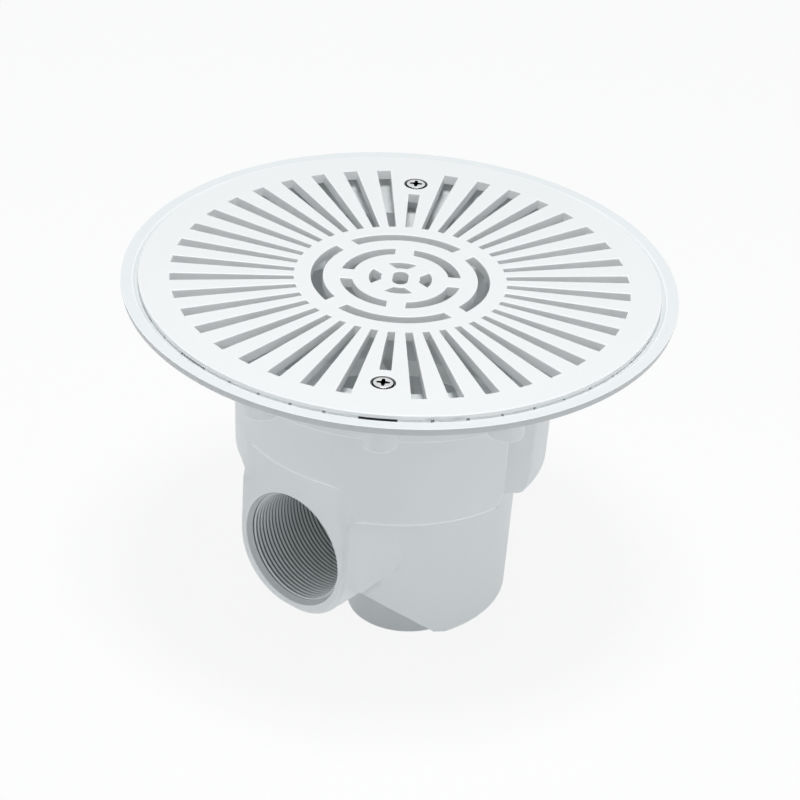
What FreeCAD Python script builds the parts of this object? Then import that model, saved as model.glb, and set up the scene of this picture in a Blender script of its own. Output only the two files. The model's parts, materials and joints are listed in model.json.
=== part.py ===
import FreeCAD
import Part
import math
import os

from FreeCAD import Vector

# Pool main drain: a flanged bowl with a threaded side outlet, closed by a round slotted grille.
# Millimetres, +Z up, origin under the body's axis at the level of the bottom port's end, outlet facing -Y.

# Outlet: internal pipe thread, modelled at its root diameter
thread_diameter = 59.6
thread_length = 47.0
outlet_wall = 5.4
outlet_edge_chamfer = 2.0
outlet_shoulder_angle = 12.0
web_round = 65.0
web_underside_gap = 2.2
web_underside_angle = 52.0
mouth_relief = 0.7
mouth_relief_depth = 4.3

# Bottom port: internal pipe thread for a relief valve or a plug, modelled at its root diameter
port_thread_diameter = 47.8
port_wall = 6.2
port_drop = 28.0

# Sump round the outlet, its underside sloped up towards the outlet
outlet_floor_clearance = 13.0
outlet_reach = 10.7
sump_side_room = 27.4
sump_draft_angle = 1.6
sump_wall = 4.2
sump_edge_chamfer = 1.6
base_thickness = 6.0
relief_inset = 39.3
relief_angle = 41.5

# Bowl above the sump
bowl_step = 15.9
bowl_bottom_above_outlet = 30.8
bowl_side_height = 58.2
bowl_draft_angle = 2.0
bowl_wall = 4.5
outlet_flat_height = 18.0
groove_width = 17.8
groove_angle_from_outlet = 91.8
panel_corner_round = 6.0

# Collar round the bowl's mouth and the dished pan under the grille
collar_step = 15.7
collar_wall = 4.7
collar_height = 20.8
pan_thickness = 4.0
pan_floor_margin = 3.3
pan_slope_run = 10.5
pan_depth = 8.7

# Bosses under the pan, two of which carry the grille's screws
boss_count = 10
boss_radius = 8.7
boss_beyond_collar = 5.8
boss_end_above_collar = 2.8
screw_line_from_outlet = 36.0

# Flange and the seat for the grille
seat_width = 6.7
seat_depth = 1.8
seat_slope_run = 1.9
flange_land = 6.2
flange_thickness = 4.1

# Grille
grille_edge_clearance = 0.7
lip_thickness = 2.2
grille_thickness = 5.2
plug_clearance = 1.2
slot_count = 40
slot_inner_width = 3.5
slot_outer_width = 7.2
slot_end_margin = 6.2
slot_screw_margin = 5.5
ring_count = 3
first_ring_radius = 9.6
ring_slot_width = 5.9
ring_land = 8.4
bridge_width = 9.4
bridge_count = 4
centre_hole_width = 7.6
centre_hole_length = 12.8
pad_count = 48
pad_height = 1.4
pad_inset = 0.6
pad_width = 4.6
pad_gap = 1.6

# Screws and inserts
screw_diameter = 5.0
screw_length = 17.0
screw_head_diameter = 10.4
screw_head_height = 2.6
head_clearance = 0.8
shank_clearance = 0.4
thread_clearance = 0.1
drive_span = 6.4
drive_width = 1.3
drive_depth = 1.6
insert_wall = 1.7
insert_length = 9.0
insert_clearance = 0.1

# Room that a cutting tool runs past the solid it cuts, and the distance within which points count as touching
overrun = 1.0
touching = 1e-4

# Radii, from the outlet thread outwards
thread_radius = thread_diameter / 2
outlet_radius = thread_radius + outlet_wall
port_thread_radius = port_thread_diameter / 2
port_radius = port_thread_radius + port_wall
sump_radius = outlet_radius + sump_side_room
bowl_radius = sump_radius + bowl_step
collar_radius = bowl_radius + collar_step
screw_circle = collar_radius + boss_beyond_collar
pan_floor_radius = screw_circle + boss_radius + pan_floor_margin
seat_inner_radius = pan_floor_radius + pan_slope_run
seat_outer_radius = seat_inner_radius + seat_width
flange_inner_radius = seat_outer_radius + seat_slope_run
flange_radius = flange_inner_radius + flange_land
grille_radius = seat_outer_radius - grille_edge_clearance

# Heights, from the bottom port's end upwards
sump_bottom = port_drop
outlet_height = sump_bottom + outlet_floor_clearance + outlet_radius
bowl_bottom = outlet_height + bowl_bottom_above_outlet
outlet_flat_top = bowl_bottom + outlet_flat_height
collar_bottom = bowl_bottom + bowl_side_height
pan_underside = collar_bottom + collar_height
pan_floor = pan_underside + pan_thickness
seat_level = pan_floor + pan_depth
flange_top = seat_level + seat_depth
flange_underside = flange_top - flange_thickness
grille_top = seat_level + pad_height + lip_thickness
grille_underside = grille_top - grille_thickness

# Places that several pieces share
outlet_face = sump_radius + outlet_reach
thread_start = outlet_face - mouth_relief_depth
tube_end = thread_start - thread_length
sump_draft = math.tan(math.radians(sump_draft_angle))
sump_top_radius = sump_radius + sump_draft * (bowl_bottom - sump_bottom)
sump_outlet_radius = sump_radius + sump_draft * (outlet_height - sump_bottom)
bowl_top_radius = bowl_radius + math.tan(math.radians(bowl_draft_angle)) * bowl_side_height
relief_heel = sump_radius - relief_inset
port_offset = relief_inset / 2
boss_pitch = 360.0 / boss_count
screw_angles = [-90.0 + screw_line_from_outlet + boss_pitch * i for i in (0, boss_count // 2)]
counterbore_radius = screw_head_diameter / 2 + head_clearance
head_seat = grille_top - screw_head_height
pan_slope = pan_slope_run / pan_depth
plug_radius = seat_inner_radius - pan_slope * (seat_level - grille_underside) - plug_clearance
slot_outer_radius = plug_radius - slot_end_margin
slot_inner_radius = first_ring_radius + ring_count * (ring_slot_width + ring_land)
insert_bore = screw_diameter + 2 * thread_clearance
insert_flats = insert_bore + 2 * insert_wall
insert_end = grille_underside - insert_length


def on_xz(a, b):
    """Place profile point (a, b) on the XZ plane."""
    return Vector(a, 0, b)


def on_xy(a, b):
    """Place profile point (a, b) on the XY plane."""
    return Vector(a, b, 0)


def on_yz(a, b):
    """Place profile point (a, b) on the YZ plane."""
    return Vector(0, a, b)


def corner_points(before, corner, after, radius):
    """Return the start, middle and end of the arc that rounds one profile corner."""
    to_before = (before - corner).normalize()
    to_after = (after - corner).normalize()
    half = to_before.getAngle(to_after) / 2
    room = min((before - corner).Length, (after - corner).Length) / 2
    reach = min(radius / math.tan(half), room)
    radius = reach * math.tan(half)
    bisector = (to_before + to_after).normalize()
    middle = corner + bisector * (radius / math.sin(half) - radius)
    return corner + to_before * reach, middle, corner + to_after * reach


def profile_face(corners, place, arcs=True):
    """Make a flat face from corners (a, b) or (a, b, size), cut back by that size to an arc or a chamfer."""
    points = [place(corner[0], corner[1]) for corner in corners]
    runs = []
    for i, corner in enumerate(corners):
        if len(corner) == 3:
            runs.append(corner_points(points[i - 1], points[i], points[(i + 1) % len(points)], corner[2]))
        else:
            runs.append((points[i],))
    edges = []
    for i, run in enumerate(runs):
        if len(run) == 3 and arcs:
            edges.append(Part.Arc(*run).toShape())
        elif len(run) == 3:
            edges.append(Part.LineSegment(run[0], run[2]).toShape())
        start = run[-1]
        end = runs[(i + 1) % len(runs)][0]
        if (end - start).Length > touching:
            edges.append(Part.LineSegment(start, end).toShape())
    return Part.Face(Part.Wire(edges))


def turned(corners):
    """Revolve an (r, z) profile with chamfered corners about the body's axis."""
    return profile_face(corners, on_xz, arcs=False).revolve(Vector(0, 0, 0), Vector(0, 0, 1), 360)


def cylinder(radius, bottom, top, x=0.0, y=0.0):
    """Make an upright cylinder between two heights."""
    return Part.makeCylinder(radius, top - bottom, Vector(x, y, bottom))


def hex_prism(flats, bottom, top, x, y):
    """Make an upright hexagonal prism, given across its flats, between two heights."""
    corner = flats / 2 / math.cos(math.radians(30))
    outline = [on_circle(corner, 60 * i) for i in range(7)]
    face = Part.Face(Part.makePolygon([Vector(x + a, y + b, bottom) for a, b in outline]))
    return face.extrude(Vector(0, 0, top - bottom))


def bar(radius, inner, outer):
    """Make a cylinder along the outlet's axis between two distances from the body's axis."""
    return Part.makeCylinder(radius, outer - inner, Vector(0, -inner, outlet_height), Vector(0, -1, 0))


def spun(shape, angle):
    """Return a copy of a shape turned about the body's axis, in degrees."""
    copy = shape.copy()
    copy.rotate(Vector(0, 0, 0), Vector(0, 0, 1), angle)
    return copy


def on_circle(radius, angle):
    """Return the x and y of a point on a circle about the body's axis."""
    return radius * math.cos(math.radians(angle)), radius * math.sin(math.radians(angle))


def body_outside():
    """Make the body's turned outside: sump, bowl, collar, pan and flange."""
    return turned([
        (0, sump_bottom),
        (sump_radius, sump_bottom, sump_edge_chamfer),
        (sump_top_radius, bowl_bottom),
        (bowl_radius, bowl_bottom),
        (bowl_top_radius, collar_bottom),
        (collar_radius, collar_bottom),
        (collar_radius, pan_underside),
        (pan_floor_radius, pan_underside),
        (pan_floor_radius + pan_slope * (flange_underside - pan_underside), flange_underside),
        (flange_radius, flange_underside),
        (flange_radius, flange_top),
        (0, flange_top),
    ])


def body_inside():
    """Make the body's turned inside, straight-walled from the sump's floor up and dished under the grille."""
    sump_floor = sump_bottom + base_thickness
    bowl_floor = bowl_bottom + bowl_wall
    mouth_floor = collar_bottom + bowl_wall
    mouth_radius = collar_radius - collar_wall
    return turned([
        (0, sump_floor),
        (sump_radius - sump_wall, sump_floor),
        (sump_radius - sump_wall, bowl_floor),
        (bowl_radius - bowl_wall, bowl_floor),
        (bowl_radius - bowl_wall, mouth_floor),
        (mouth_radius, mouth_floor),
        (mouth_radius, pan_floor),
        (pan_floor_radius, pan_floor),
        (seat_inner_radius, seat_level),
        (seat_outer_radius, seat_level),
        (flange_inner_radius, flange_top),
        (flange_inner_radius, flange_top + overrun),
        (0, flange_top + overrun),
    ])


def outlet_flat(wall):
    """Make the block that flattens the bowl above the outlet, grown by a wall."""
    width = 2 * (outlet_radius + wall)
    depth = bowl_top_radius + overrun - outlet_face + wall
    height = outlet_flat_top + wall
    return Part.makeBox(width, depth, height, Vector(-width / 2, -outlet_face + wall - depth, 0))


def side_groove(wall, side):
    """Make the tool for one upright square V groove in the bowl's side, grown by a wall."""
    depth = groove_width / 2 + wall * math.sqrt(2)
    tip = bowl_radius - depth
    reach = bowl_top_radius + overrun - tip
    face = profile_face([(tip, 0), (tip + reach, -reach), (tip + reach, reach)], on_xy)
    face.translate(Vector(0, 0, bowl_bottom - overrun))
    tool = face.extrude(Vector(0, 0, collar_bottom - bowl_bottom + overrun))
    return spun(tool, -90.0 + side * groove_angle_from_outlet)


def panel_corner(side):
    """Make the tool that rounds the lower corner of the bowl's front beside one groove."""
    edge = -side * groove_width / 2
    back = edge - side * 2 * panel_corner_round
    front = edge + side * overrun
    low = bowl_bottom - overrun
    high = bowl_bottom + 2 * panel_corner_round
    face = profile_face([
        (edge, high),
        (edge, bowl_bottom, panel_corner_round),
        (back, bowl_bottom),
        (back, low),
        (front, low),
        (front, high),
    ], on_yz)
    face.translate(Vector(bowl_radius - groove_width / 2, 0, 0))
    tool = face.extrude(Vector(groove_width / 2 + overrun, 0, 0))
    return spun(tool, -90.0 + side * groove_angle_from_outlet)


def relief_wedge(wall):
    """Make the wedge that slopes the sump's underside up to the outlet, raised by a wall."""
    rise = math.tan(math.radians(relief_angle))
    lift = wall / math.cos(math.radians(relief_angle))
    far = outlet_face + overrun
    half = sump_top_radius + overrun
    heel = relief_heel - (sump_bottom + lift) / rise
    wedge = profile_face([
        (-heel, 0),
        (-far, 0),
        (-far, rise * (far - heel)),
    ], on_yz)
    wedge.translate(Vector(-half, 0, 0))
    return wedge.extrude(Vector(2 * half, 0, 0))


def outlet_block():
    """Make the outlet's housing, flat-sided up to the bowl and round below the bore."""
    bottom = outlet_height - outlet_radius
    face = profile_face([
        (-outlet_radius, bowl_bottom),
        (-outlet_radius, bottom, outlet_radius),
        (outlet_radius, bottom, outlet_radius),
        (outlet_radius, bowl_bottom),
    ], on_xz)
    face.translate(Vector(0, -tube_end, 0))
    block = face.extrude(Vector(0, tube_end - outlet_face, 0))
    rim = []
    for edge in block.Edges:
        box = edge.BoundBox
        at_face = box.YLength < touching and abs(box.YMin + outlet_face) < touching
        if at_face and box.ZMin < bowl_bottom - touching:
            rim.append(edge)
    return block.makeChamfer(outlet_edge_chamfer, rim)


def web_underside():
    """Make the tool that cuts off a web's underside along a slope beside the round of the housing."""
    size = 2 * sump_top_radius
    top = -outlet_radius - web_underside_gap
    tool = Part.makeBox(2 * size, outlet_face, size, Vector(-size, -outlet_face, top - size))
    tool.rotate(Vector(0, 0, 0), Vector(0, 1, 0), -web_underside_angle)
    tool.translate(Vector(0, 0, outlet_height))
    return tool


def outlet_web():
    """Make the web that flares one side of the outlet's housing into the sump with a hollow curve."""
    on_side = Vector(outlet_radius, outlet_edge_chamfer - outlet_face, 0)
    reach = sump_outlet_radius + web_round
    along = (on_side.Length ** 2 + reach ** 2 - web_round ** 2) / (2 * on_side.Length)
    aside = math.sqrt(reach ** 2 - along ** 2)
    outward = Vector(on_side).normalize()
    centre = outward * along + Vector(-outward.y, outward.x, 0) * aside
    on_sump = centre * (sump_outlet_radius / reach)
    middle = (on_sump + on_side) / 2 - centre
    middle = centre + middle.normalize() * web_round
    corners = [on_sump, Vector(0, on_sump.y, 0), Vector(0, on_side.y, 0), on_side]
    edges = [Part.LineSegment(a, b).toShape() for a, b in zip(corners, corners[1:])]
    edges.append(Part.Arc(on_side, middle, on_sump).toShape())
    web = Part.Face(Part.Wire(edges)).extrude(Vector(0, 0, bowl_bottom - sump_bottom))
    web.translate(Vector(0, 0, sump_bottom))
    return web.cut(web_underside())


def outlet_shoulder():
    """Make the cone that tapers the outlet's upper corners in to the bowl's lower edge."""
    height = bowl_bottom - sump_bottom
    spread = height * math.tan(math.radians(outlet_shoulder_angle))
    return Part.makeCone(bowl_radius + spread, bowl_radius, height, Vector(0, 0, sump_bottom))


def outlet_way():
    """Make the outlet's bore: thread root and plain relief at the mouth."""
    bore = bar(thread_radius, tube_end - overrun, outlet_face)
    return bore.fuse(bar(thread_radius + mouth_relief, thread_start, outlet_face + overrun))


def boss(angle):
    """Make one boss lug that hangs from the pan."""
    x, y = on_circle(screw_circle, angle)
    return cylinder(boss_radius, collar_bottom + boss_end_above_collar, pan_floor, x, y)


def pillar(angle):
    """Make the part of a screw boss that stands in the pan and carries the grille."""
    x, y = on_circle(screw_circle, angle)
    return cylinder(boss_radius, pan_underside, grille_underside, x, y)


def screw_hole(angle):
    """Make the blind pocket in a screw boss, for the insert and the screw's end below it."""
    x, y = on_circle(screw_circle, angle)
    end = head_seat - screw_length - overrun
    return hex_prism(insert_flats + 2 * insert_clearance, end, grille_underside + overrun, x, y)


def drain_body():
    """Make the one-piece body: turned shell, bosses, relieved sump, threaded outlet and bottom port."""
    shoulder = outlet_shoulder()
    housing = outlet_block().common(shoulder)
    web = outlet_web().common(shoulder)
    outside = body_outside().fuse([web, web.mirror(Vector(0, 0, 0), Vector(1, 0, 0))])
    grooves = [side_groove(0, 1), side_groove(0, -1), panel_corner(1), panel_corner(-1)]
    outside = outside.cut([outlet_flat(0), relief_wedge(0)] + grooves).fuse(housing)
    inside = body_inside().cut([
        outlet_flat(bowl_wall),
        side_groove(bowl_wall, 1),
        side_groove(bowl_wall, -1),
        relief_wedge(sump_wall),
        bar(thread_radius + sump_wall, tube_end, outlet_face),
    ])
    sump_floor = sump_bottom + base_thickness
    port = cylinder(port_radius, 0, sump_floor, 0, port_offset)
    port_way = cylinder(port_thread_radius, -overrun, sump_floor + overrun, 0, port_offset)
    bosses = [boss(screw_angles[0] + boss_pitch * i) for i in range(boss_count)]
    body = outside.fuse([port] + bosses).cut(inside)
    body = body.fuse([pillar(angle) for angle in screw_angles])
    return body.cut([outlet_way(), port_way] + [screw_hole(angle) for angle in screw_angles])


def grille_disc():
    """Make the grille's turned disc: the slotted plug and the lip round it."""
    lip_underside = grille_top - lip_thickness
    return turned([
        (0, grille_underside),
        (plug_radius, grille_underside),
        (plug_radius, lip_underside),
        (grille_radius, lip_underside),
        (grille_radius, grille_top),
        (0, grille_top),
    ])


def pads():
    """Make the pads under the lip, with one missing at each screw for lifting the grille."""
    outer = grille_radius - pad_inset
    pitch = 360.0 / pad_count
    length = 2 * outer * math.sin(math.radians(pitch / 2)) - pad_gap
    pad = Part.makeBox(pad_width, length, pad_height, Vector(outer - pad_width, -length / 2, seat_level))
    missing = [round((angle - screw_angles[0]) / pitch) for angle in screw_angles]
    return [spun(pad, screw_angles[0] + pitch * i) for i in range(pad_count) if i not in missing]


def radial_slot(angle):
    """Make the tool for one tapered slot, shorter where a screw stands in its way."""
    end = slot_outer_radius
    for screw_angle in screw_angles:
        turn = math.radians(angle - screw_angle)
        aside = abs(screw_circle * math.sin(turn))
        if math.cos(turn) > 0 and aside < counterbore_radius + slot_outer_width / 2:
            end = screw_circle - counterbore_radius - slot_screw_margin
    taper = (slot_outer_width - slot_inner_width) / (slot_outer_radius - slot_inner_radius)
    inner_half = slot_inner_width / 2
    outer_half = inner_half + taper * (end - slot_inner_radius) / 2
    face = profile_face([
        (slot_inner_radius, -inner_half),
        (end, -outer_half),
        (end, outer_half),
        (slot_inner_radius, inner_half),
    ], on_xy)
    face.translate(Vector(0, 0, grille_underside - overrun))
    return spun(face.extrude(Vector(0, 0, grille_thickness + 2 * overrun)), angle)


def ring_slots(index):
    """Make the tool for one broken ring of slots, its bridges turned half a pitch from the next ring's."""
    inner = first_ring_radius + index * (ring_slot_width + ring_land)
    outer = inner + ring_slot_width
    bottom = grille_underside - overrun
    top = grille_top + overrun
    ring = cylinder(outer, bottom, top).cut(cylinder(inner, bottom, top))
    pitch = 360.0 / bridge_count
    bridge = Part.makeBox(outer + overrun, bridge_width, top - bottom, Vector(0, -bridge_width / 2, bottom))
    first = screw_angles[0] + (pitch / 2 if index % 2 == 0 else 0.0)
    return ring.cut([spun(bridge, first + pitch * i) for i in range(bridge_count)])


def centre_hole():
    """Make the tool for the long round-ended hole at the grille's centre."""
    half_width = centre_hole_width / 2
    half_length = centre_hole_length / 2
    face = profile_face([
        (-half_length, -half_width, half_width),
        (half_length, -half_width, half_width),
        (half_length, half_width, half_width),
        (-half_length, half_width, half_width),
    ], on_xy)
    face.translate(Vector(0, 0, grille_underside - overrun))
    return spun(face.extrude(Vector(0, 0, grille_thickness + 2 * overrun)), screw_angles[0])


def screw_passage(angle):
    """Make the counterbored hole in the grille for one screw."""
    x, y = on_circle(screw_circle, angle)
    hole_radius = screw_diameter / 2 + shank_clearance
    hole = cylinder(hole_radius, grille_underside - overrun, head_seat + overrun, x, y)
    return hole.fuse(cylinder(counterbore_radius, head_seat, grille_top + overrun, x, y))


def grille():
    """Make the grille: disc and pads, cut by the slots, the rings, the centre hole and the screw holes."""
    tools = [radial_slot(screw_angles[0] + 360.0 / slot_count * i) for i in range(slot_count)]
    tools += [ring_slots(i) for i in range(ring_count)]
    tools += [centre_hole()]
    tools += [screw_passage(angle) for angle in screw_angles]
    return grille_disc().fuse(pads()).cut(tools)


def screw(angle):
    """Make one round-head screw with a cross recess."""
    head_radius = screw_head_diameter / 2
    tip = head_seat - screw_length
    solid = turned([
        (0, tip),
        (screw_diameter / 2, tip),
        (screw_diameter / 2, head_seat),
        (head_radius, head_seat),
        (head_radius, grille_top),
        (0, grille_top),
    ])
    corner = Vector(-drive_span / 2, -drive_width / 2, grille_top - drive_depth)
    wing = Part.makeBox(drive_span, drive_width, drive_depth, corner)
    solid = spun(solid.cut([wing, spun(wing, 90.0)]), angle)
    x, y = on_circle(screw_circle, angle)
    solid.translate(Vector(x, y, 0))
    return solid


def insert(angle):
    """Make one hexagonal threaded insert, its thread modelled as a plain bore."""
    x, y = on_circle(screw_circle, angle)
    block = hex_prism(insert_flats, insert_end, grille_underside, x, y)
    return block.cut(cylinder(insert_bore / 2, insert_end, grille_underside, x, y))


def write(name, shape):
    """Write one node's STEP file."""
    shape.removeSplitter().exportStep("parts/" + name + ".step")


os.makedirs("parts", exist_ok=True)
write("drain_body", drain_body())
write("grille", grille())
write("grille_screws", Part.makeCompound([screw(angle) for angle in screw_angles]))
write("screw_inserts", Part.makeCompound([insert(angle) for angle in screw_angles]))
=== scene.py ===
"""Dressed scene of a pool main drain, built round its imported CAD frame."""

import json
import logging
import math
from dataclasses import dataclass
from enum import Enum
from typing import Any, Callable

import bmesh
import bpy
from mathutils import Matrix, Vector


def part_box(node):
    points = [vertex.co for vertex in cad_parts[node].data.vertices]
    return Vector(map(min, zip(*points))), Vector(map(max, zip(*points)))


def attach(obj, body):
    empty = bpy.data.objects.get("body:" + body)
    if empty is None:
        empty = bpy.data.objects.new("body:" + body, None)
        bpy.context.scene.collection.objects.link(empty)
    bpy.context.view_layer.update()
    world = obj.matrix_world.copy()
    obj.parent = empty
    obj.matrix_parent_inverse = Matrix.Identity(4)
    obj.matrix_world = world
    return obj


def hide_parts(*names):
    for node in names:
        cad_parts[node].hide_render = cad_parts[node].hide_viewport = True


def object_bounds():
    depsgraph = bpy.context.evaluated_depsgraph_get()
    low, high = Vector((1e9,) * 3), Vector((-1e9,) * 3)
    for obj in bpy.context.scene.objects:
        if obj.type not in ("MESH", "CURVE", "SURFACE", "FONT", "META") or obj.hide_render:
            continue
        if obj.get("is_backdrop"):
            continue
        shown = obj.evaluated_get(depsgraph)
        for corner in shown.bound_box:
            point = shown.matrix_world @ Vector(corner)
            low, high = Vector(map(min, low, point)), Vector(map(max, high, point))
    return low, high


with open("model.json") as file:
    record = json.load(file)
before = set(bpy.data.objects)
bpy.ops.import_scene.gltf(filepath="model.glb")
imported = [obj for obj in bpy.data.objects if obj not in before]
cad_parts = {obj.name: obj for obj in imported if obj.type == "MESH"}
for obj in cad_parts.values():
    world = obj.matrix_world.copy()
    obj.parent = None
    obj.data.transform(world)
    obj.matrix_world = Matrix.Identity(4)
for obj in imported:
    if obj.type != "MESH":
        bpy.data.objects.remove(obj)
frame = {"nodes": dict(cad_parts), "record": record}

MM = 0.001
BODY = "root"

# Slack in millimetres: of the tests on places, of cuts, and between points that are one
NEAR = 0.1
ON_CUT = 0.01
TINY = 0.002

# Angles between faces: up to which they are one flat face, and from which their edge is rounded
FLAT = math.radians(0.3)
SHARP = math.radians(25)

# Angle in degrees from which an edge of a piece that stands for a CAD node keeps a hard shade
HARD_SHADE = 35

# Mesh attributes that the materials read, a painted highlight on rounded edges and painted shade in hollows, and
# the two ends of the painted shade's range
PAINTED_HIGHLIGHT = "painted_edge_highlight"
PAINTED_SHADE = "painted_shade_level"
NO_SHADE = 0.0
FULL_SHADE = 1.0

# Numbers of the sockets that share a name, on nodes that mix colours, mix shaders and reckon
MIX_FACTOR, MIX_A, MIX_B, MIX_RESULT = 0, 6, 7, 2
SHADER_A, SHADER_B = 1, 2
NUMBER_A, NUMBER_B = 0, 1

SocketKey = str | int
PointTest = Callable[[Vector], bool]
Section = list[tuple[float, float, float]]

log = logging.getLogger("pool_main_drain")


class Slot(Enum):
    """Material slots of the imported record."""

    BODY = "body_plastic"
    GRILLE = "grille_plastic"
    SCREW = "screw_steel"


class EdgeHighlight(Enum):
    """How strong the painted highlight on a rounded edge is, from 0 to 1."""

    NONE = 0.0
    FAINT = 0.2
    SOME = 0.4
    FULL = 0.75


def linear(hex_colour: str) -> tuple[float, float, float, float]:
    """Turn an sRGB hex colour into linear RGBA.

    Args:
        hex_colour: Six hex digits after a hash sign.

    Returns:
        The linear colour with an alpha of 1.
    """
    channels = [int(hex_colour[i:i + 2], 16) / 255 for i in (1, 3, 5)]
    parts = [c / 12.92 if c <= 0.04045 else ((c + 0.055) / 1.055) ** 2.4 for c in channels]
    return parts[0], parts[1], parts[2], 1.0


def add_node(tree: bpy.types.NodeTree, kind: str, settings: dict[SocketKey, Any],
             links: dict[SocketKey, bpy.types.NodeSocket]) -> bpy.types.Node:
    """Add one node with its settings and links.

    An input is given by its name, or by its number where it shares that name with others.

    Args:
        tree: The node tree that takes the node.
        kind: The node's type name.
        settings: Values by input, or by property name where no input has that name.
        links: Output sockets of other nodes, by input.

    Returns:
        The new node.
    """
    node = tree.nodes.new(kind)
    for key, value in settings.items():
        if isinstance(key, int) or key in node.inputs:
            node.inputs[key].default_value = value
        else:
            setattr(node, key, value)
    for key, socket in links.items():
        tree.links.new(socket, node.inputs[key])
    return node


def empty_material(name: str) -> bpy.types.Material:
    """Make a node material with nothing in its tree.

    Args:
        name: The material's name.

    Returns:
        The new material.
    """
    material = bpy.data.materials.new(name)
    material.use_nodes = True
    material.node_tree.nodes.clear()
    return material


@dataclass(frozen=True)
class Mark:
    """A change of colour that follows one attribute of a piece's mesh; the marks here are painted highlights and
    painted shade.

    Attributes:
        attribute: The attribute's name; its value says how much of the colour shows.
        colour: The colour in sRGB hex.
    """

    attribute: str
    colour: str

    def over(self, tree: bpy.types.NodeTree, colour: bpy.types.NodeSocket) -> bpy.types.NodeSocket:
        """Mix this mark over a colour.

        Args:
            tree: The material's node tree.
            colour: The colour below.

        Returns:
            The mixed colour's socket.
        """
        amount = add_node(tree, "ShaderNodeAttribute", {"attribute_name": self.attribute}, {})
        mix = add_node(tree, "ShaderNodeMix", {"data_type": "RGBA", MIX_B: linear(self.colour)},
                       {MIX_FACTOR: amount.outputs["Fac"], MIX_A: colour})
        return mix.outputs[MIX_RESULT]


@dataclass(frozen=True)
class Grain:
    """Fine relief of a surface, which varies its roughness too.

    Attributes:
        size_mm: Size of the grain, drawn coarser than the real one so that it shows.
        detail: Levels of finer noise in it.
        depth: Strength of its bump.
        roughness: Lowest and highest roughness.
    """

    size_mm: float
    detail: float
    depth: float
    roughness: tuple[float, float]

    def surface(self, tree: bpy.types.NodeTree, place: bpy.types.NodeSocket
                ) -> tuple[bpy.types.NodeSocket, dict[SocketKey, bpy.types.NodeSocket]]:
        """Add the grain's noise and the nodes that turn it into roughness and relief.

        Args:
            tree: The material's node tree.
            place: The coordinates that the grain follows.

        Returns:
            The noise's socket, and the sockets for the shader by its inputs.
        """
        noise = add_node(tree, "ShaderNodeTexNoise",
                         {"Scale": 1 / (self.size_mm * MM), "Detail": self.detail}, {"Vector": place})
        pattern = noise.outputs["Fac"]
        low, high = self.roughness
        gloss = add_node(tree, "ShaderNodeMapRange", {"To Min": low, "To Max": high}, {"Value": pattern})
        bump = add_node(tree, "ShaderNodeBump", {"Strength": self.depth, "Distance": self.size_mm * MM},
                        {"Height": pattern})
        return pattern, {"Roughness": gloss.outputs["Result"], "Normal": bump.outputs["Normal"]}


@dataclass(frozen=True)
class MouldedAbs:
    """White ABS from a fine-textured mould: satin, even, with a faint grain and a soft sheen.

    Its rounded edges carry a painted highlight, and painted shade darkens its threads, gaps and other hollows.

    Attributes:
        name: The material's name.
        colour: Main colour in sRGB hex.
        shade: Second colour, mixed in as a very slow drift over the moulding.
        marks: Painted highlights on rounded edges and painted shade in hollows.
        grain: The mould's grain.
        drift_mm: Size of the colour drift.
        drift_detail: Levels of finer noise in the drift.
        ior: Index of refraction.
    """

    name: str
    colour: str
    shade: str
    # White painted highlight on rounded edges and grey painted shade in threads, gaps and holes
    marks: tuple[Mark, ...] = (Mark(PAINTED_HIGHLIGHT, "#ffffff"), Mark(PAINTED_SHADE, "#4a5358"))
    grain: Grain = Grain(size_mm=0.9, detail=2.0, depth=0.05, roughness=(0.34, 0.44))
    drift_mm: float = 70.0
    drift_detail: float = 3.0
    ior: float = 1.53

    def material(self) -> bpy.types.Material:
        """Build the node material.

        Returns:
            The new material.
        """
        material = empty_material(self.name)
        tree = material.node_tree
        place = add_node(tree, "ShaderNodeTexCoord", {}, {}).outputs["Object"]
        drift = add_node(tree, "ShaderNodeTexNoise",
                         {"Scale": 1 / (self.drift_mm * MM), "Detail": self.drift_detail},
                         {"Vector": place})
        tone = add_node(tree, "ShaderNodeMix",
                        {"data_type": "RGBA", MIX_A: linear(self.colour), MIX_B: linear(self.shade)},
                        {MIX_FACTOR: drift.outputs["Fac"]}).outputs[MIX_RESULT]
        for mark in self.marks:
            tone = mark.over(tree, tone)
        _, surface = self.grain.surface(tree, place)
        shader = add_node(tree, "ShaderNodeBsdfPrincipled", {"IOR": self.ior},
                          {"Base Color": tone, **surface})
        add_node(tree, "ShaderNodeOutputMaterial", {}, {"Surface": shader.outputs["BSDF"]})
        return material


@dataclass(frozen=True)
class TurnedMetal:
    """Plain machined metal: bright, with fine tool marks and painted shade in its recesses.

    Attributes:
        name: The material's name.
        colour: Main colour in sRGB hex.
        shade: Second colour, where the tool marks lie deeper.
        tool_marks: The marks that the tool left.
        recess_shade: Painted shade, near black, in the recesses.
    """

    name: str
    colour: str
    shade: str
    tool_marks: Grain
    # Near-black painted shade in recesses such as the screws' cross recesses
    recess_shade: Mark = Mark(PAINTED_SHADE, "#141617")

    def material(self) -> bpy.types.Material:
        """Build the node material.

        Returns:
            The new material.
        """
        material = empty_material(self.name)
        tree = material.node_tree
        place = add_node(tree, "ShaderNodeTexCoord", {}, {}).outputs["Object"]
        pattern, surface = self.tool_marks.surface(tree, place)
        tone = add_node(tree, "ShaderNodeMix",
                        {"data_type": "RGBA", MIX_A: linear(self.colour), MIX_B: linear(self.shade)},
                        {MIX_FACTOR: pattern}).outputs[MIX_RESULT]
        shader = add_node(tree, "ShaderNodeBsdfPrincipled", {"Metallic": 1.0},
                          {"Base Color": self.recess_shade.over(tree, tone), **surface})
        add_node(tree, "ShaderNodeOutputMaterial", {}, {"Surface": shader.outputs["BSDF"]})
        return material


# The body's white is a touch darker and cooler than the grille's, painted shade for the cool shade on the body's
# sides
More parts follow.
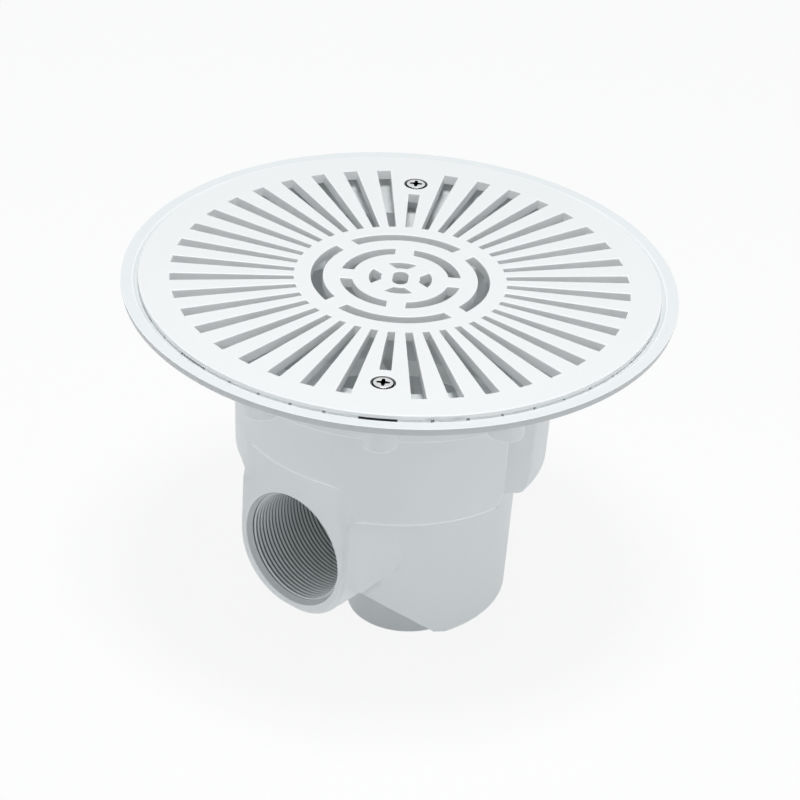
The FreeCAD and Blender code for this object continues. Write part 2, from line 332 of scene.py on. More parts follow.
WHITE_BODY = MouldedAbs("white_moulded_abs_body", "#eceff0", "#e8ecec")
WHITE_GRILLE = MouldedAbs("white_moulded_abs_grille", "#f2f3f3", "#eff0f0")
STAINLESS = TurnedMetal("stainless_steel_screw", "#e2e4e4", "#cfd1d2",
                        Grain(size_mm=0.5, detail=4.0, depth=0.1, roughness=(0.16, 0.3)))
BRASS = TurnedMetal("turned_brass_insert", "#d0ad63", "#bd9a52",
                    Grain(size_mm=0.5, detail=4.0, depth=0.1, roughness=(0.25, 0.4)))


def new_piece(name: str, bm: bmesh.types.BMesh, material: bpy.types.Material,
              smooth_angle: float) -> bpy.types.Object:
    """Turn a bmesh into a piece that rides on the drain's body.

    Args:
        name: The piece's name.
        bm: The mesh, in metres in the row's frame; it is freed.
        material: The piece's material.
        smooth_angle: Edges sharper than this, in degrees, keep a hard shade.

    Returns:
        The new object.
    """
    mesh = bpy.data.meshes.new(name)
    bm.to_mesh(mesh)
    bm.free()
    mesh.shade_smooth()
    mesh.set_sharp_from_angle(angle=math.radians(smooth_angle))
    mesh.materials.append(material)
    piece = bpy.data.objects.new(name, mesh)
    bpy.context.scene.collection.objects.link(piece)
    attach(piece, BODY)
    return piece


def merged_copy(node: str) -> bmesh.types.BMesh:
    """Copy a CAD node's mesh, join its loose triangles and clear the edges inside flat faces.

    Args:
        node: The CAD node's name.

    Returns:
        A bmesh in the row's frame.
    """
    bm = bmesh.new()
    bm.from_mesh(frame["nodes"][node].data)
    bmesh.ops.remove_doubles(bm, verts=bm.verts[:], dist=TINY * MM)
    bmesh.ops.dissolve_limit(bm, angle_limit=FLAT, use_dissolve_boundaries=False,
                             verts=bm.verts[:], edges=bm.edges[:], delimit=set())
    return bm


def on_level(level: float) -> PointTest:
    """Return a test for points at one height in millimetres."""
    return lambda point: abs(point.z - level) < NEAR


def on_ring(radius: float, level: float) -> PointTest:
    """Return a test for points on a circle about the drain's axis, in millimetres."""
    return lambda point: abs(point.z - level) < NEAR and abs(point.xy.length - radius) < NEAR


def face_layer(bm: bmesh.types.BMesh, name: str) -> bmesh.types.BMLayerItem:
    """Return the mesh's face layer of that name, made where it is missing."""
    return bm.faces.layers.float.get(name) or bm.faces.layers.float.new(name)


def faces_inside(bm: bmesh.types.BMesh, test: PointTest) -> list[bmesh.types.BMFace]:
    """Return the faces whose corners all pass a test, which takes a point in millimetres."""
    return [face for face in bm.faces if all(test(vert.co / MM) for vert in face.verts)]


def paint_shade(bm: bmesh.types.BMesh, test: PointTest, amount: float) -> None:
    """Mark the faces whose corners all pass a test for painted shade.

    Args:
        bm: The mesh to mark.
        test: Takes a point in millimetres.
        amount: How dark the painted shade is, from 0 to 1.
    """
    layer = face_layer(bm, PAINTED_SHADE)
    for face in faces_inside(bm, test):
        face[layer] = amount


def cut_faces(bm: bmesh.types.BMesh, faces: list[bmesh.types.BMFace], point: Vector, normal: Vector,
              clear_outer: bool = False) -> list[bmesh.types.BMEdge]:
    """Cut some of a mesh's faces along a plane.

    Args:
        bm: The mesh to cut.
        faces: The faces that the cut may cross.
        point: A point on the plane, in metres.
        normal: The way that the plane faces.
        clear_outer: Whether what lies in front of the plane is taken away.

    Returns:
        The edges along the cut.
    """
    edges = {edge for face in faces for edge in face.edges}
    verts = {vert for face in faces for vert in face.verts}
    cut = bmesh.ops.bisect_plane(bm, geom=[*faces, *edges, *verts], dist=ON_CUT * MM,
                                 plane_co=point, plane_no=normal, clear_outer=clear_outer)
    return [item for item in cut["geom_cut"] if isinstance(item, bmesh.types.BMEdge)]


def round_edges(bm: bmesh.types.BMesh, test: PointTest, radius_mm: float, highlight: EdgeHighlight = EdgeHighlight.FULL,
                segments: int = 2) -> None:
    """Bevel the sharp outer edges whose two ends pass a test, and mark them for a painted highlight.

    Args:
        bm: The mesh to change.
        test: Takes a point in millimetres and says whether it belongs to the edges meant.
        radius_mm: The bevel's width.
        highlight: How strong the edges' painted highlight is.
        segments: The bevel's segments.
    """
    edges = [edge for edge in bm.edges
             if edge.is_manifold and edge.calc_face_angle_signed(0.0) > SHARP
             and all(test(vert.co / MM) for vert in edge.verts)]
    log.info("  %d edges rounded by %.2f mm", len(edges), radius_mm)
    layer = face_layer(bm, PAINTED_HIGHLIGHT)
    made = bmesh.ops.bevel(bm, geom=edges, offset=radius_mm * MM, offset_type="OFFSET",
                           segments=segments, profile=0.5, affect="EDGES", clamp_overlap=False,
                           loop_slide=False, material=-1)
    for face in made["faces"]:
        face[layer] = highlight.value


def replacing_piece(name: str, node: str, bm: bmesh.types.BMesh, material: bpy.types.Material) -> bpy.types.Object:
    """Make the piece that stands for a CAD node, its flat faces kept flat beside their rounded edges.

    Args:
        name: The piece's name.
        node: The CAD node that it stands for.
        bm: The mesh; it is freed.
        material: The finish.

    Returns:
        The new object.
    """
    bmesh.ops.dissolve_degenerate(bm, dist=TINY * MM, edges=bm.edges[:])
    piece = new_piece(name, bm, material, HARD_SHADE)
    weighted = piece.modifiers.new("flat_faces", "WEIGHTED_NORMAL")
    weighted.keep_sharp = True
    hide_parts(node)
    return piece


@dataclass
class ScrewPlaces:
    """Where the grille's two screws stand.

    Attributes:
        circle: Radius of the screws' circle, in millimetres.
        angles: The screws' angles in degrees.
    """

    circle: float = 100.0
    angles: tuple[float, ...] = (-54.0, 126.0)

    def turned(self, point: Vector) -> float:
        """Return the angle between a point and the nearer screw about the drain's axis, in degrees."""
        angle = math.degrees(math.atan2(point.y, point.x))
        return min(abs((angle - screw + 180) % 360 - 180) for screw in self.angles)

    def axes(self) -> list[tuple[float, float]]:
        """Return where the screws' axes stand, in millimetres."""
        turns = [math.radians(angle) for angle in self.angles]
        return [(self.circle * math.cos(turn), self.circle * math.sin(turn)) for turn in turns]

    def distance(self, point: Vector) -> float:
        """Return a point's distance from the nearer screw's axis, in millimetres."""
        return min(math.hypot(point.x - x, point.y - y) for x, y in self.axes())


@dataclass
class DrainBody:
    """The moulded body: the CAD shape, its flange drafted and its edges rounded as they leave the mould.

    Sizes are in millimetres. Heights start at the bottom port's end, and a front is a distance in front of
    the drain's axis.

    Attributes:
        places: The screws' places.
        port_end: Height of the bottom port's end.
        flange_underside: Height of the flange's underside.
        flange_inner_radius: Inner edge of the flange's top.
        flange_draft: How far the flange's side leans in towards its underside.
        flange_darkening: Painted shade on the flange's side.
        seat_level: Height of the ring on which the grille's pads rest.
        seat_inside: Inner radius of that ring.
        gap_turn: Half the angle of the gap between the pads at a screw, in degrees.
        collar_radius: Outer radius of the collar.
        collar_bottom: Height of the collar's lower edge.
        boss_end: Height of the bosses' ends.
        bowl_inside: Radius that parts the bowl's outer edges from its inner ones.
        bowl_bottom: Height of the bowl's lower edge.
        corner_top: Height where the rounded corner of the bowl's lower edge ends at the groove.
        corner_front: Front of that end.
        corner_clear: Distance from it within which the edge stays sharp.
        groove_wall: Least and greatest half width at which the grooves' back walls end below.
        groove_back: Least and greatest front of those ends.
        groove_lean: How far the back walls lean forward there.
        groove_side: Half width beyond which the grooves' front edges lie.
        groove_front: Least and greatest front of those edges.
        groove_low: Height from which they are rounded.
        outlet_half: Half the width in which the outlet's housing meets the bowl's lower edge.
        ledge: Height of the ledge above the outlet.
        ledge_half: Half the rounded length of the ledge's edge, which thins out to nothing at its ends.
        outlet_level: Height of the outlet's axis.
        outlet_face: Front of the outlet's face.
        rim_chamfer: The outlet's chamfer.
        rim_top: Height up to which the outlet's rim is rounded.
        rim_clear: Distance from the mouth beyond which the rim's edges lie.
        mouth_radius: Radius of the outlet's mouth.
        sump_inside: Radius that parts the sump's outer edges from its inner ones.
        sump_chamfer_top: Height of the sump's chamfer.
        sump_front: Front at which the sump's round edge ends.
        sump_corner: The right corner of the sump's slanted front and its floor.
        blunt_slope: The way that the blunt corner faces.
        blunt_depth: How much of the corner is missing.
        blunt_reach: Distance from the corner within which faces are cut.
        blunt_round: Rounding of the blunt corner's own edges.
        blunt_segments: Segments of that rounding.
        flange_round: Rounding of the flange.
        collar_round: Rounding of the collar.
        boss_round: Rounding of the bosses' ends.
        shell_round: Rounding of the bowl's lower edge and the ledge.
        groove_round: Rounding of the grooves' front edges.
        rim_round: Rounding of the outlet's rim, the sump and the bottom port.
        mouth_round: Rounding of the mouth.
    """

    places: ScrewPlaces
    port_end: float = 0.0
    flange_underside: float = 196.4
    flange_inner_radius: float = 131.1
    flange_draft: float = 1.0
    flange_darkening: float = 0.3
    seat_level: float = 198.7
    seat_inside: float = 122.5
    gap_turn: float = 4.0
    collar_radius: float = 94.2
    collar_bottom: float = 165.2
    boss_end: float = 168.0
    bowl_inside: float = 76.0
    bowl_bottom: float = 107.0
    corner_top: float = 113.0
    corner_front: float = 5.9
    corner_clear: float = 0.5
    groove_wall: tuple[float, float] = (69.0, 78.0)
    groove_back: tuple[float, float] = (5.2, 5.9)
    groove_lean: float = 4.4
    groove_side: float = 79.0
    groove_front: tuple[float, float] = (6.6, 8.0)
    groove_low: float = 130.0
    outlet_half: float = 36.5
    ledge: float = 125.0
    ledge_half: float = 26.0
    outlet_level: float = 76.2
    outlet_face: float = 73.3
    rim_chamfer: float = 2.0
    rim_top: float = 97.0
    rim_clear: float = 1.0
    mouth_radius: float = 30.5
    sump_inside: float = 59.0
    sump_chamfer_top: float = 29.6
    sump_front: float = 14.0
    sump_corner: tuple[float, float, float] = (57.0, -24.3, 28.8)
    blunt_slope: tuple[float, float, float] = (0.409, -0.402, -0.820)
    blunt_depth: float = 1.0
    blunt_reach: float = 12.0
    blunt_round: float = 1.2
    blunt_segments: int = 3
    flange_round: float = 0.45
    collar_round: float = 1.2
    boss_round: float = 0.9
    shell_round: float = 2.0
    groove_round: float = 0.5
    rim_round: float = 0.6
    mouth_round: float = 0.5

    def on_seat(self, point: Vector) -> bool:
        """Say whether a point is on the ring on which the grille's pads rest."""
        return abs(point.z - self.seat_level) < NEAR and point.xy.length > self.seat_inside - NEAR

    def in_gap(self, point: Vector) -> bool:
        """Say whether a point is on that ring in the gap between the pads at a screw."""
        return self.on_seat(point) and self.places.turned(point) < self.gap_turn + NEAR

    def on_bowl_edge(self, point: Vector) -> bool:
        """Say whether a point is on the bowl's lower edge, clear of the grooves' ends and the outlet.

        Args:
            point: A point in millimetres.

        Returns:
            Whether it is there.
        """
        if point.xy.length < self.bowl_inside or abs(point.y + self.corner_front) < self.corner_clear:
            return False
        top = self.corner_top if point.y < 0 else self.bowl_bottom
        beside_outlet = point.y > 0 or abs(point.x) > self.outlet_half
        return self.bowl_bottom - NEAR < point.z < top + NEAR and beside_outlet

    def on_groove_wall(self, point: Vector, side: int) -> bool:
        """Say whether a point is where a groove's back wall ends at the bowl's lower edge.

        Args:
            point: A point in millimetres.
            side: 1 for the groove on the right, -1 for the one on the left.

        Returns:
            Whether it is there.
        """
        inner, outer = self.groove_wall
        near, far = self.groove_back
        return (abs(point.z - self.bowl_bottom) < NEAR
                and inner < side * point.x < outer and near < -point.y < far)

    def on_groove(self, point: Vector) -> bool:
        """Say whether a point is on the front edge of a groove.

        Args:
            point: A point in millimetres.

        Returns:
            Whether it is there.
        """
        near, far = self.groove_front
        return (abs(point.x) > self.groove_side and near < -point.y < far
                and self.groove_low < point.z < self.collar_bottom + NEAR)

    def on_ledge(self, point: Vector) -> bool:
        """Say whether a point is on the edge of the ledge above the outlet."""
        return abs(point.z - self.ledge) < NEAR and abs(point.x) < self.ledge_half and point.y < 0

    def from_outlet_axis(self, point: Vector) -> float:
        """Return a point's distance from the outlet's axis."""
        return math.hypot(point.x, point.z - self.outlet_level)

    def on_mouth(self, point: Vector) -> bool:
        """Say whether a point is on the edge of the outlet's mouth."""
        return (abs(point.y + self.outlet_face) < NEAR
                and abs(self.from_outlet_axis(point) - self.mouth_radius) < NEAR)

    def on_rim(self, point: Vector) -> bool:
        """Say whether a point is on one of the two edges of the outlet's chamfered rim.

        Args:
            point: A point in millimetres.

        Returns:
            Whether it is there.
        """
        back = point.y + self.outlet_face
        return (min(abs(back), abs(back - self.rim_chamfer)) < NEAR and point.z < self.rim_top
                and self.from_outlet_axis(point) > self.mouth_radius + self.rim_clear)

    def on_sump(self, point: Vector) -> bool:
        """Say whether a point is on one of the sump's two lower edges."""
        return (point.z < self.sump_chamfer_top + NEAR and point.y > -self.sump_front
                and point.xy.length > self.sump_inside)

    def draft_flange(self, bm: bmesh.types.BMesh, radius: float) -> None:
        """Lean the flange's side in towards its underside.

        Args:
            bm: The body's mesh.
            radius: The flange's outer radius.
        """
        test = on_ring(radius, self.flange_underside)
        ring = [vert for vert in bm.verts if test(vert.co / MM)]
        share = 1 - self.flange_draft / radius
        bmesh.ops.scale(bm, vec=(share, share, 1), verts=ring)

    def lean_grooves(self, bm: bmesh.types.BMesh) -> None:
        """Lean the grooves' back walls forward at their lower ends, along the bowl's round.

        Args:
            bm: The body's mesh.
        """
        for side in (1, -1):
            ends = [vert for vert in bm.verts if self.on_groove_wall(vert.co / MM, side)]
            log.info("  %d corners of a groove leaned", len(ends))
            for vert in ends:
                turn = -side * self.groove_lean * MM / vert.co.xy.length
                bmesh.ops.rotate(bm, cent=(0, 0, 0), matrix=Matrix.Rotation(turn, 3, "Z"), verts=[vert])

    def blunt_sump(self, bm: bmesh.types.BMesh) -> None:
        """Blunt the two corners in which the sump's slanted front ends at its floor.

        Args:
            bm: The body's mesh.
        """
        for side in (1, -1):
            mirror = Vector((side, 1, 1))
            corner = Vector(self.sump_corner) * mirror
            slope = (Vector(self.blunt_slope) * mirror).normalized()
            near = [vert for vert in bm.verts if (vert.co / MM - corner).length < self.blunt_reach]
            faces = list({face for vert in near for face in vert.link_faces})
            cut = cut_faces(bm, faces, (corner - slope * self.blunt_depth) * MM, slope, clear_outer=True)
            rim = [edge for edge in cut if edge.is_boundary]
            log.info("  corner of the sump blunted, %d edges", len(rim))
            bmesh.ops.holes_fill(bm, edges=rim, sides=0)
            bmesh.ops.bevel(bm, geom=rim, offset=self.blunt_round * MM, offset_type="OFFSET",
                            segments=self.blunt_segments, profile=0.5, affect="EDGES", clamp_overlap=True,
                            loop_slide=True, material=-1)

    def shade_gaps(self, bm: bmesh.types.BMesh) -> None:
        """Part the seat's ring at the ends of the gaps between the pads, and paint shade into the gaps.

        The two screws face each other, so that each cut parts the ring at both.

        Args:
            bm: The body's mesh.
        """
        for turn in (self.places.angles[0] - self.gap_turn, self.places.angles[0] + self.gap_turn):
            across = Matrix.Rotation(math.radians(turn), 3, "Z") @ Vector((0, 1, 0))
            cut_faces(bm, faces_inside(bm, self.on_seat), Vector((0, 0, 0)), across)
        paint_shade(bm, self.in_gap, FULL_SHADE)

    def build(self, material: bpy.types.Material) -> bpy.types.Object:
        """Draft the flange, shape the corners and round the body's edges, group by group.

        Args:
            material: The body's finish.

        Returns:
            The new piece.
        """
        high = Vector(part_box("drain_body")[1]) / MM
        drafted = high.x - self.flange_draft
        bm = merged_copy("drain_body")
        self.draft_flange(bm, high.x)
        self.lean_grooves(bm)
        self.blunt_sump(bm)
        self.shade_gaps(bm)
        # Painted shade on the flange's drafted side
        paint_shade(bm, lambda point: point.xy.length > drafted - NEAR, self.flange_darkening)
        # Each group of edges gets its painted highlight; the flange's underside gets none
        rounds: list[tuple[PointTest, float, EdgeHighlight]] = [
            (on_ring(high.x, high.z), self.flange_round, EdgeHighlight.FULL),
            (on_ring(drafted, self.flange_underside), self.flange_round, EdgeHighlight.NONE),
            (on_ring(self.flange_inner_radius, high.z), self.flange_round, EdgeHighlight.FULL),
            (on_ring(self.collar_radius, self.collar_bottom), self.collar_round, EdgeHighlight.SOME),
            (on_level(self.boss_end), self.boss_round, EdgeHighlight.FULL),
            (on_level(self.port_end), self.rim_round, EdgeHighlight.FULL),
            (self.on_bowl_edge, self.shell_round, EdgeHighlight.FULL),
            (self.on_groove, self.groove_round, EdgeHighlight.FULL),
            (self.on_ledge, self.shell_round, EdgeHighlight.FULL),
            (self.on_mouth, self.mouth_round, EdgeHighlight.FULL),
            (self.on_rim, self.rim_round, EdgeHighlight.FAINT),
            (self.on_sump, self.rim_round, EdgeHighlight.FAINT),
        ]
        for test, radius, highlight in rounds:
            round_edges(bm, test, radius, highlight)
        return replacing_piece("moulded_body", "drain_body", bm, material)


@dataclass
class Grille:
    """The slotted grille, its upper edges rounded with a painted highlight and its screw holes darkened with
    painted shade.

    Attributes:
        places: The screws' places.
        hole_radius: Radius of the counterbores, in millimetres.
        hole_darkening: Painted shade in them.
        slot_round: Rounding of all its upper edges, in millimetres.
    """

    places: ScrewPlaces
    hole_radius: float = 6.0
    hole_darkening: float = 0.7
    slot_round: float = 0.45

    def in_hole(self, point: Vector) -> bool:
        """Say whether a point is in one of the screw holes or on its wall."""
        return self.places.distance(point) < self.hole_radius + NEAR

    def build(self, material: bpy.types.Material) -> bpy.types.Object:
        """Round the grille's upper edges and dress it.

        Args:
            material: The grille's finish.

        Returns:
            The new piece.
        """
        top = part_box("grille")[1][2] / MM
        bm = merged_copy("grille")
        # Painted highlight on the rounded upper edges, painted shade in the screw holes
        round_edges(bm, on_level(top), self.slot_round)
        paint_shade(bm, self.in_hole, self.hole_darkening)
        return replacing_piece("slotted_grille", "grille", bm, material)


@dataclass
class GrilleScrews:
    """The two screws, their heads domed, and their cross recesses and the lower rims of the heads darkened with
    painted shade.

    Attributes:
        places: The screws' places.
        head_radius: Radius of the heads, in millimetres as all below.
        drive_reach: Radius that holds the cross recess.
        drive_depth: Depth that holds it.
        drive_middle: Radius that holds the recess's inner corners.
        drive_flare: How many times further out those corners stand in the finished recess.
        dome: Rounding of the heads.
        dome_segments: Segments of that rounding.
        rim_depth: Depth below the top from which painted shade darkens the heads' lower rims.
        rim_width: Width of the ring in which it lies.
    """

    places: ScrewPlaces
    head_radius: float = 5.2
    drive_reach: float = 3.4
    drive_depth: float = 2.0
    drive_middle: float = 1.2
    drive_flare: float = 1.6
    dome: float = 1.2
    dome_segments: int = 5
    rim_depth: float = 0.22
    rim_width: float = 0.5

    def flare_recesses(self, bm: bmesh.types.BMesh) -> None:
        """Widen the cross recesses towards their middles.

        Args:
            bm: The screws' mesh.
        """
        for x, y in self.places.axes():
            axis = Vector((x, y, 0)) * MM
            corners = [vert for vert in bm.verts if (vert.co - axis).xy.length < self.drive_middle * MM]
            log.info("  %d corners of a recess widened", len(corners))
            bmesh.ops.scale(bm, vec=(self.drive_flare, self.drive_flare, 1),
                            space=Matrix.Translation(-axis), verts=corners)

    def build(self, material: bpy.types.Material) -> bpy.types.Object:
        """Dome the heads and dress the screws.

        Args:
            material: The screws' finish.

        Returns:
            The new piece.
        """
        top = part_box("grille_screws")[1][2] / MM
        on_top = on_level(top)
        distance = self.places.distance
        recess_floor = top - self.drive_depth
        rim_level = top - self.rim_depth
        rim_inside = self.head_radius - self.rim_width
        bm = merged_copy("grille_screws")
        self.flare_recesses(bm)
        # Painted shade in the cross recesses, taken off the flat tops again
        paint_shade(bm, lambda point: distance(point) < self.drive_reach and point.z > recess_floor,
                     FULL_SHADE)
        paint_shade(bm, on_top, NO_SHADE)
        round_edges(bm, lambda point: on_top(point) and distance(point) > self.head_radius - NEAR,
                    self.dome, segments=self.dome_segments)
        # Painted shade on the lower rim of each head
        paint_shade(bm, lambda point: point.z < rim_level and distance(point) > rim_inside, FULL_SHADE)
        return replacing_piece("domed_screws", "grille_screws", bm, material)


def add_section(bm: bmesh.types.BMesh, corners: Section) -> list[Any]:
    """Add a closed section to a mesh, with its painted shade.

    Args:
        bm: The mesh to add to.
        corners: Radius and height in millimetres and painted shade, corner by corner.

    Returns:
        The new vertices and edges.
    """
    layer = bm.verts.layers.float.get(PAINTED_SHADE) or bm.verts.layers.float.new(PAINTED_SHADE)
    verts = [bm.verts.new((radius * MM, 0, height * MM)) for radius, height, _ in corners]
    for vert, (_, _, darkness) in zip(verts, corners):
        vert[layer] = darkness
    return verts + [bm.edges.new(pair) for pair in zip(verts, verts[1:] + verts[:1])]


@dataclass(frozen=True)
class LeadIn:
    """The plain cone that leads into an internal thread, behind the bore's wider mouth.

    Attributes:
        mouth_mm: Depth of the mouth.
        front_mm: Depth of the cone's front edge below the mouth's face.
        back_mm: Depth of its back edge.
        wide_mm: Its radius in front.
        narrow_mm: Its radius at the back.
        lip_mm: Width and depth of the bevel on its back edge.
        foot_mm: How far its foot lies behind the back edge.
        darkenings: Painted shade at its front edge, its back edge, the bevel's end and its foot.
        steps: Steps in its round.
    """

    mouth_mm: float = 4.3
    front_mm: float = 0.4
    back_mm: float = 3.2
    wide_mm: float = 30.55
    narrow_mm: float = 29.0
    lip_mm: tuple[float, float] = (0.1, 0.15)
    foot_mm: float = 0.5
    darkenings: tuple[float, float, float, float] = (0.25, 0.15, 0.6, 1.0)
    steps: int = 144

    def turn(self, bm: bmesh.types.BMesh, face: float) -> None:
        """Turn the cone.

        Args:
            bm: The mesh to add to.
            face: Height of the mouth's face in millimetres.
        """
        back = face - self.back_mm
        lip_width, lip_depth = self.lip_mm
        radii = (self.wide_mm, self.narrow_mm, self.narrow_mm + lip_width, self.wide_mm)
        heights = (face - self.front_mm, back, back - lip_depth, back - self.foot_mm)
        section = list(zip(radii, heights, self.darkenings))
        bmesh.ops.spin(bm, geom=add_section(bm, section), cent=(0, 0, 0), axis=(0, 0, 1),
                       angle=2 * math.pi, steps=self.steps, use_merge=True)


@dataclass
class PipeThread:
    """An internal pipe thread: one ridge wound along a bore's wall.

    Attributes:
        name: The piece's name.
        mount: The record's mount that gives the bore.
        lead_in: The cone in front of the thread, where it has one.
        pitch_mm: Distance from turn to turn.
        depth_mm: Height of the ridge.
        sink_mm: How far the ridge's foot stands in the bore's wall.
        bend_mm: Height of the flank's bend over the bore's wall.
        round_mm: How far below the crest its rounding begins.
        widths: The ridge's width at its foot, bend, rounding and crest, as shares of the pitch.
        darkenings: Painted shade at the same four places, darkest at the ridge's foot.
        margin_mm: Plain length left at the bore's inner end.
        gap_mm: Plain length left behind the cone.
        steps: Steps in each turn.
        smooth_angle: Edges sharper than this, in degrees, keep a hard shade.
    """

    name: str
    mount: str
    lead_in: LeadIn | None = None
    pitch_mm: float = 2.309
    depth_mm: float = 1.479
    sink_mm: float = 0.1
    bend_mm: float = 0.6
    round_mm: float = 0.4
    widths: tuple[float, float, float, float] = (0.98, 0.62, 0.4, 0.24)
    darkenings: tuple[float, float, float, float] = (1.0, 0.8, 0.0, 0.0)
    margin_mm: float = 0.2
    gap_mm: float = 0.6
    steps: int = 72
    smooth_angle: float = 50.0

    def section(self, root: float) -> Section:
        """Return the corners of the ridge's section, from foot to foot over the crest.

        Args:
            root: The bore's radius in millimetres.

        Returns:
            Radius and height in millimetres and painted shade, corner by corner.
        """
        crest = root - self.depth_mm
        half = self.pitch_mm / 2
        radii = (root + self.sink_mm, root - self.bend_mm, crest + self.round_mm, crest)
        flank = list(zip(radii, self.widths, self.darkenings))
        lower = [(radius, -width * half, darkness) for radius, width, darkness in flank]
        upper = [(radius, width * half, darkness) for radius, width, darkness in reversed(flank)]
        return lower + upper

    def wind(self, bm: bmesh.types.BMesh, root: float, length: float) -> None:
        """Wind the ridge from the origin upwards.

        Args:
            bm: The mesh to add to.
            root: The bore's radius in millimetres.
            length: How far the ridge climbs.
        """
        section = self.section(root)
        turns = length / self.pitch_mm
        steps = round(turns * self.steps)
        bmesh.ops.spin(bm, geom=add_section(bm, section), cent=(0, 0, 0), axis=(0, 0, 1),
                       dvec=(0, 0, length / steps * MM), angle=turns * 2 * math.pi, steps=steps)
        ends = [edge for edge in bm.edges if edge.is_boundary]
        bmesh.ops.holes_fill(bm, edges=ends, sides=len(section))

    def build(self, material: bpy.types.Material) -> bpy.types.Object:
        """Wind the ridge, add the cone and place them in their bore.

        Args:
            material: The finish of the part round the bore.

        Returns:
            The new piece.
        """
        mount = next(m for m in frame["record"]["mounts"] if m["name"] == self.mount)
        bore = mount["dims"]["length_mm"]
        first = self.margin_mm + self.pitch_mm / 2
        cone = self.lead_in
        reach = cone.mouth_mm - cone.back_mm - self.gap_mm if cone else -first
        bm = bmesh.new()
        self.wind(bm, mount["dims"]["r_mm"], bore + reach - first)
        if cone:
            cone.turn(bm, bore + cone.mouth_mm - first)
        bmesh.ops.recalc_face_normals(bm, faces=bm.faces[:])
        axis = Vector(mount["axis"])
        start = Vector(mount["pos_m"]) - axis * ((bore / 2 - first) * MM)
        turn = Vector((0, 0, 1)).rotation_difference(axis).to_matrix().to_4x4()
        bmesh.ops.transform(bm, matrix=Matrix.Translation(start) @ turn, verts=bm.verts[:])
        return new_piece(self.name, bm, material, self.smooth_angle)


@dataclass
class PhotoCamera:
    """The photograph's camera, as found from the grille's and the flange's ellipses.

    Attributes:
        azimuth: Turn round the drain from the outlet's side, in degrees.
        elevation: Height above the horizon, in degrees.
        roll: Tilt about the line of sight, in degrees.
        distance_mm: From the point aimed at.
        aim_right_mm: The point aimed at, on the grille's top plane, to the right of the drain's axis.
        aim_front_mm: The same point, towards the camera.
        lens_mm: Focal length on a sensor of the width below.
        sensor_mm: Sensor width.
        clip_m: How far it sees, in metres.
    """

    azimuth: float = 38.78
    elevation: float = 31.53
    roll: float = 3.51
    distance_mm: float = 1505.2
    aim_right_mm: float = 3.46
    aim_front_mm: float = 114.8
    lens_mm: float = 146.9
    sensor_mm: float = 36.0
    clip_m: float = 20.0

    def build(self) -> None:
        """Add the camera and make it the scene's."""
        turn = Matrix.Rotation(math.radians(self.azimuth), 3, "Z")
        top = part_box("grille")[1][2]
        aim = turn @ Vector((self.aim_right_mm * MM, -self.aim_front_mm * MM, 0)) + Vector((0, 0, top))
        rise = math.radians(self.elevation)
        back = turn @ Vector((0, -math.cos(rise), math.sin(rise)))
        right = turn @ Vector((1, 0, 0))
        up = back.cross(right)
        cos, sin = math.cos(math.radians(self.roll)), math.sin(math.radians(self.roll))
        right, up = right * cos + up * sin, up * cos - right * sin
        data = bpy.data.cameras.new("photo_camera")
        data.lens = self.lens_mm
        data.sensor_width = self.sensor_mm
        data.clip_end = self.clip_m
        camera = bpy.data.objects.new("photo_camera", data)
        axes = Matrix((right, up, back)).transposed().to_4x4()
        camera.matrix_world = Matrix.Translation(aim + back * (self.distance_mm * MM)) @ axes
        bpy.context.scene.collection.objects.link(camera)
        bpy.context.scene.camera = camera


@dataclass(frozen=True)
class Softbox:
    """One soft studio lamp.

    Attributes:
        name: The lamp's name.
        place: Position in metres.
        size: Width and depth in metres.
        power: Watts.
        colour: Light colour in sRGB hex.
    """

    name: str
    place: tuple[float, float, float]
    size: tuple[float, float]
    power: float
    colour: str = "#ffffff"

    def build(self, aim: Vector) -> None:
        """Add the lamp, pointing at the drain.

        Args:
            aim: The point that it faces.
        """
        data = bpy.data.lights.new(self.name, "AREA")
        data.shape = "RECTANGLE"
        data.size, data.size_y = self.size
        data.energy = self.power
        data.color = linear(self.colour)[:3]
        lamp = bpy.data.objects.new(self.name, data)
        lamp.location = self.place
        lamp.rotation_euler = (aim - Vector(self.place)).to_track_quat("-Z", "Y").to_euler()
        bpy.context.scene.collection.objects.link(lamp)


